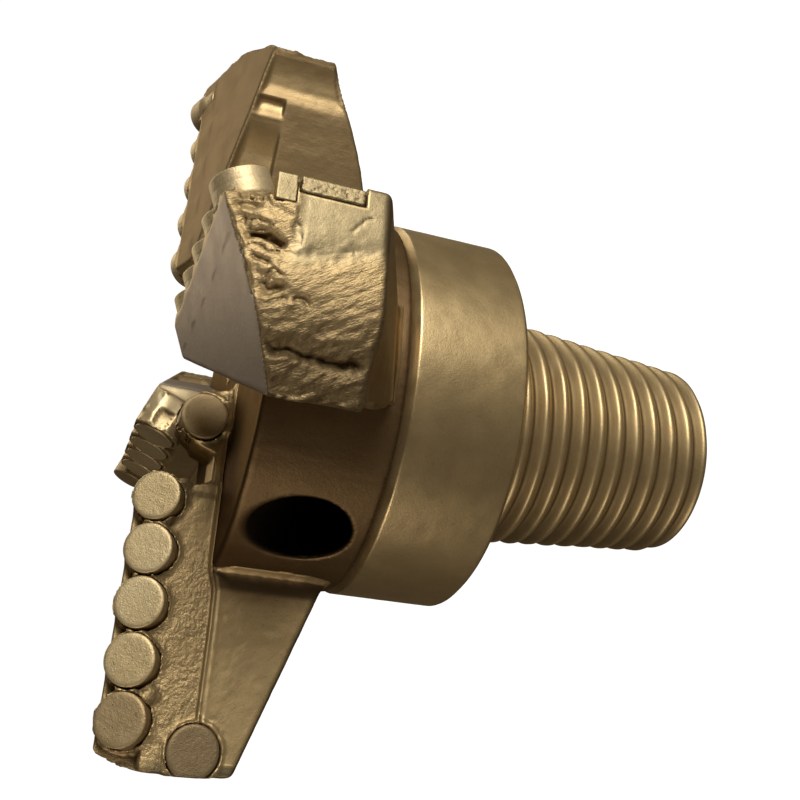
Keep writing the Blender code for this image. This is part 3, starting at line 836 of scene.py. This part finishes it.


# SPECK_AND_SHADE is the colour of random dark specks and also of the painted shade in closed-in places
GOLD_L, GOLD_D, SPECK_AND_SHADE = (0.43, 0.312, 0.152), (0.40, 0.286, 0.136), (0.060, 0.034, 0.013)
steel = painted("gold_paint_steel", (0.455, 0.335, 0.167), (0.435, 0.315, 0.154), SPECK_AND_SHADE, rough=0.38, metal=0.92, peel=0.42, grain=0.6)
# the crown body's gold paint takes a much darker base colour: painted shade under the wings
core_steel_shaded = painted("gold_paint_body_steel_shaded", (0.150, 0.094, 0.042), (0.125, 0.076, 0.034), SPECK_AND_SHADE, rough=0.46, metal=0.85, peel=0.6, extras=(("wing_root_shade", (0.07, 0.045, 0.022), 0.9), ("port_shade", (0.014, 0.013, 0.011), 1.0)), edge=(0.42, 0.37, 0.31))
wing_steel = painted(
    "gold_paint_flame_cut_steel",
    GOLD_L,
    GOLD_D,
    SPECK_AND_SHADE,
    rough=0.45,
    metal=0.8,
    peel=0.5,
    grain=0.8,
    extras=(("leather", (0.30, 0.21, 0.10), 0.35), ("flame", (0.212, 0.156, 0.076), 0.92), ("pad", (0.204, 0.160, 0.086), 0.92), ("dark_flame_and_shade", (0.092, 0.062, 0.029), 0.8), ("rear", (0.26, 0.18, 0.086), 0.85), ("ground", (0.31, 0.262, 0.218), 0.95), ("brown_facet", (0.144, 0.097, 0.050), 0.95), ("body", (0.165, 0.104, 0.047), 0.95), ("wing_root_shade", (0.085, 0.054, 0.025), 0.9), ("cream", (0.54, 0.44, 0.26), 0.7)),
    streaks=True,
    edge=(0.80, 0.66, 0.48),
)
carbide = painted("gold_paint_carbide", (0.60, 0.47, 0.26), (0.50, 0.375, 0.19), (0.16, 0.10, 0.045), rough=0.48, grain=1.8)
dark_face = painted("gold_paint_carbide_dark", (0.25, 0.18, 0.095), (0.20, 0.14, 0.07), (0.08, 0.05, 0.024), rough=0.5, grain=1.6)
# a paler copy of the carbide paint for wing 2's outer cutter side: painted highlight
highlight_face = painted("gold_paint_carbide_painted_highlight", (0.53, 0.415, 0.235), (0.47, 0.36, 0.19), (0.20, 0.14, 0.07), rough=0.54, grain=1.4)
insert_face = painted("gold_paint_hard_insert", (0.262, 0.205, 0.110), (0.225, 0.172, 0.090), (0.085, 0.054, 0.025), rough=0.5, metal=0.8, grain=1.4, peel=0.9, edge=(0.80, 0.66, 0.48))
brown_face = painted("gold_paint_carbide_brown", (0.42, 0.31, 0.165), (0.33, 0.235, 0.115), (0.12, 0.075, 0.035), rough=0.5, grain=1.6)


def finish_piece(obj, material, slot, *nodes_replaced):
    obj.data.materials.clear()
    obj.data.materials.append(material)
    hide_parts(*nodes_replaced)
    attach(obj, "root")
    return obj


# ---------------------------------------------------------------- pieces
finish_piece(shank_piece(), steel, "gold_paint_on_steel", "threaded_shank")

# the port walls near their mouths are painted near black: painted shade
def port_wall_shade_mask(points):
    best = np.zeros(len(points))
    for number in WING_AZIMUTHS:
        mouth, out = port_axis(number)
        rel = points - mouth
        along = rel @ out
        away = np.sqrt(np.maximum((rel**2).sum(1) - along**2, 0.0))
        rim = step(PORT_R + 0.75, PORT_R + 0.12, away) * step(9.5, 6.5, along)
        best = np.maximum(best, rim)
    return best


core_obj, core_points, core_normal = skin(
    "crown_body_skin", core_field, core_detail, (-57.4, -57.4, 109.2), (57.4, 57.4, 147.4), 0.82, 0.0, 2.0
)
mark(core_obj, "port_shade", port_wall_shade_mask(core_points))
# painted shade on the crown body's top beside each wing's leading side
wing_root_shade = np.zeros(len(core_points))
for angle in WING_AZIMUTHS.values():
    a = math.radians(angle)
    out_, side_ = core_points[:, 0] * math.cos(a) + core_points[:, 1] * math.sin(a), -core_points[:, 0] * math.sin(a) + core_points[:, 1] * math.cos(a)
    wing_root_shade = np.maximum(wing_root_shade, step(36.0, 22.0, side_) * step(2.0, 6.0, side_) * step(8.0, 22.0, out_) * step(145.0, 146.0, core_points[:, 2]))
mark(core_obj, "wing_root_shade", wing_root_shade)
finish_piece(core_obj, core_steel_shaded, "gold_paint_on_steel", "crown_body")

WING_VOXEL = {1: 0.64, 2: 0.46, 3: 0.46, 4: 0.62}
for number, azimuth in WING_AZIMUTHS.items():
    first = 3.5 if number in (1, 3) else 31.5
    obj, points, normal = skin(
        f"wing_{number}_skin",
        wing_rough(number),
        wing_fine(number),
        (first, -42.0, 110.8),
        (108.6, 11.5, 171.4),
        WING_VOXEL[number],
        azimuth,
    )
    for key, values in wing_marks(number, points, normal).items():
        mark(obj, key, values)
    finish_piece(obj, wing_steel, "gold_paint_on_steel", f"wing_{number}")
    for index, (label, u, z, rake) in enumerate(seats(number)):
        node = f"wing_{number}_{label}"
        piece = cutter_piece(node + "_skin", number, u, z, rake, 700 + 20 * number + index, label == "gauge_cutter")
        # the outermost, gauge and centre cutters take darker copies of the carbide paint
        darker_cutter = label in ("cutter_5", "gauge_cutter", "centre_cutter")
        cover = dark_face if label == "gauge_cutter" else brown_face if darker_cutter else carbide
        finish_piece(piece, highlight_face if node == "wing_2_cutter_5" else cover, "gold_paint_on_carbide", node)
    if number in (2, 4):
        for label in INSERTS:
            node = f"wing_{number}_gauge_insert_{label}"
            finish_piece(insert_piece(node + "_skin", number, label, 800 + number), insert_face, "gold_paint_on_carbide", node)

# ---------------------------------------------------------------- stage, lights and camera
scene = bpy.context.scene


def floor_piece():
    mesh = bpy.data.meshes.new("studio_floor")
    size = 6.0
    mesh.from_pydata([(-size, -size, -0.0004), (size, -size, -0.0004), (size, size, -0.0004), (-size, size, -0.0004)], [], [(0, 1, 2, 3)])
    obj = bpy.data.objects.new("studio_floor", mesh)
    scene.collection.objects.link(obj)
    material = bpy.data.materials.new("pale_floor")
    material.use_nodes = True
    tree = material.node_tree
    shader = tree.nodes["Principled BSDF"]
    shader.inputs["Base Color"].default_value = (0.22, 0.20, 0.175, 1.0)
    shader.inputs["Roughness"].default_value = 0.9
    shader.inputs["Specular IOR Level"].default_value = 0.0
    glow = tree.nodes.new("ShaderNodeEmission")
    glow.inputs["Color"].default_value = (1.0, 1.0, 1.0, 1.0)
    path = tree.nodes.new("ShaderNodeLightPath")
    strength = tree.nodes.new("ShaderNodeMath")
    strength.operation = "MULTIPLY"
    strength.inputs[1].default_value = 1.02
    tree.links.new(path.outputs["Is Camera Ray"], strength.inputs[0])
    tree.links.new(strength.outputs[0], glow.inputs["Strength"])
    both = tree.nodes.new("ShaderNodeAddShader")
    tree.links.new(shader.outputs[0], both.inputs[0])
    tree.links.new(glow.outputs[0], both.inputs[1])
    tree.links.new(both.outputs[0], tree.nodes["Material Output"].inputs["Surface"])
    mesh.materials.append(material)


floor_piece()


def area_light(name, position, target, width, height, power, colour=(1.0, 1.0, 1.0)):
    data = bpy.data.lights.new(name, "AREA")
    data.shape = "RECTANGLE"
    data.size, data.size_y = width, height
    data.energy = power
    data.color = colour
    obj = bpy.data.objects.new(name, data)
    scene.collection.objects.link(obj)
    obj.location = position
    direction = Vector(target) - Vector(position)
    obj.rotation_euler = direction.to_track_quat("-Z", "Y").to_euler()
    return obj


centre = (0.0, 0.0, 0.11)


def around(azimuth, elevation, distance):
    a, e = math.radians(azimuth), math.radians(elevation)
    return (distance * math.cos(a) * math.cos(e), distance * math.sin(a) * math.cos(e), 0.11 + distance * math.sin(e))


area_light("key", around(-60.0, 10.0, 0.95), centre, 0.42, 0.50, 10.8, (1.0, 0.99, 0.97))
area_light("low_side", around(-168.0, 8.0, 0.95), centre, 0.30, 0.60, 2.9, (1.0, 0.93, 0.85))
area_light("back", around(52.0, 38.0, 1.0), centre, 0.75, 0.60, 3.2, (1.0, 0.98, 0.95))
area_light("top_side", around(18.0, 12.0, 1.0), centre, 0.35, 0.60, 2.0)

world = bpy.data.worlds.new("studio")
scene.world = world
world.use_nodes = True
tree = world.node_tree
background = tree.nodes["Background"]
path = tree.nodes.new("ShaderNodeLightPath")
strength = tree.nodes.new("ShaderNodeMapRange")
strength.inputs[3].default_value = 0.032
strength.inputs[4].default_value = 1.05
tree.links.new(path.outputs["Is Camera Ray"], strength.inputs[0])
tree.links.new(strength.outputs[0], background.inputs["Strength"])
tint = tree.nodes.new("ShaderNodeMix")
tint.data_type = "RGBA"
tint.inputs[6].default_value = (1.0, 0.74, 0.50, 1.0)
tint.inputs[7].default_value = (1.0, 1.0, 1.0, 1.0)
tree.links.new(path.outputs["Is Camera Ray"], tint.inputs[0])
tree.links.new(tint.outputs[2], background.inputs["Color"])

camera_data = bpy.data.cameras.new("camera")
camera = bpy.data.objects.new("camera", camera_data)
scene.collection.objects.link(camera)
right = Vector((0.06891853, -0.31641409, -0.94611435))
down = Vector((-0.90616949, 0.37680609, -0.19202608))
ahead = Vector((0.41726141, 0.87057412, -0.26075587))
matrix = Matrix((right, -down, -ahead)).transposed().to_4x4()
matrix.translation = Vector((-0.10683, -0.27440, 0.18665))
camera.matrix_world = matrix
camera_data.sensor_width = 36.0
camera_data.lens = 44.1107
camera_data.shift_x = 0.036767
camera_data.shift_y = -0.080184
camera_data.clip_start = 0.01
camera_data.clip_end = 50.0
scene.camera = camera
scene.view_settings.view_transform = "Standard"
scene.view_settings.look = "None"
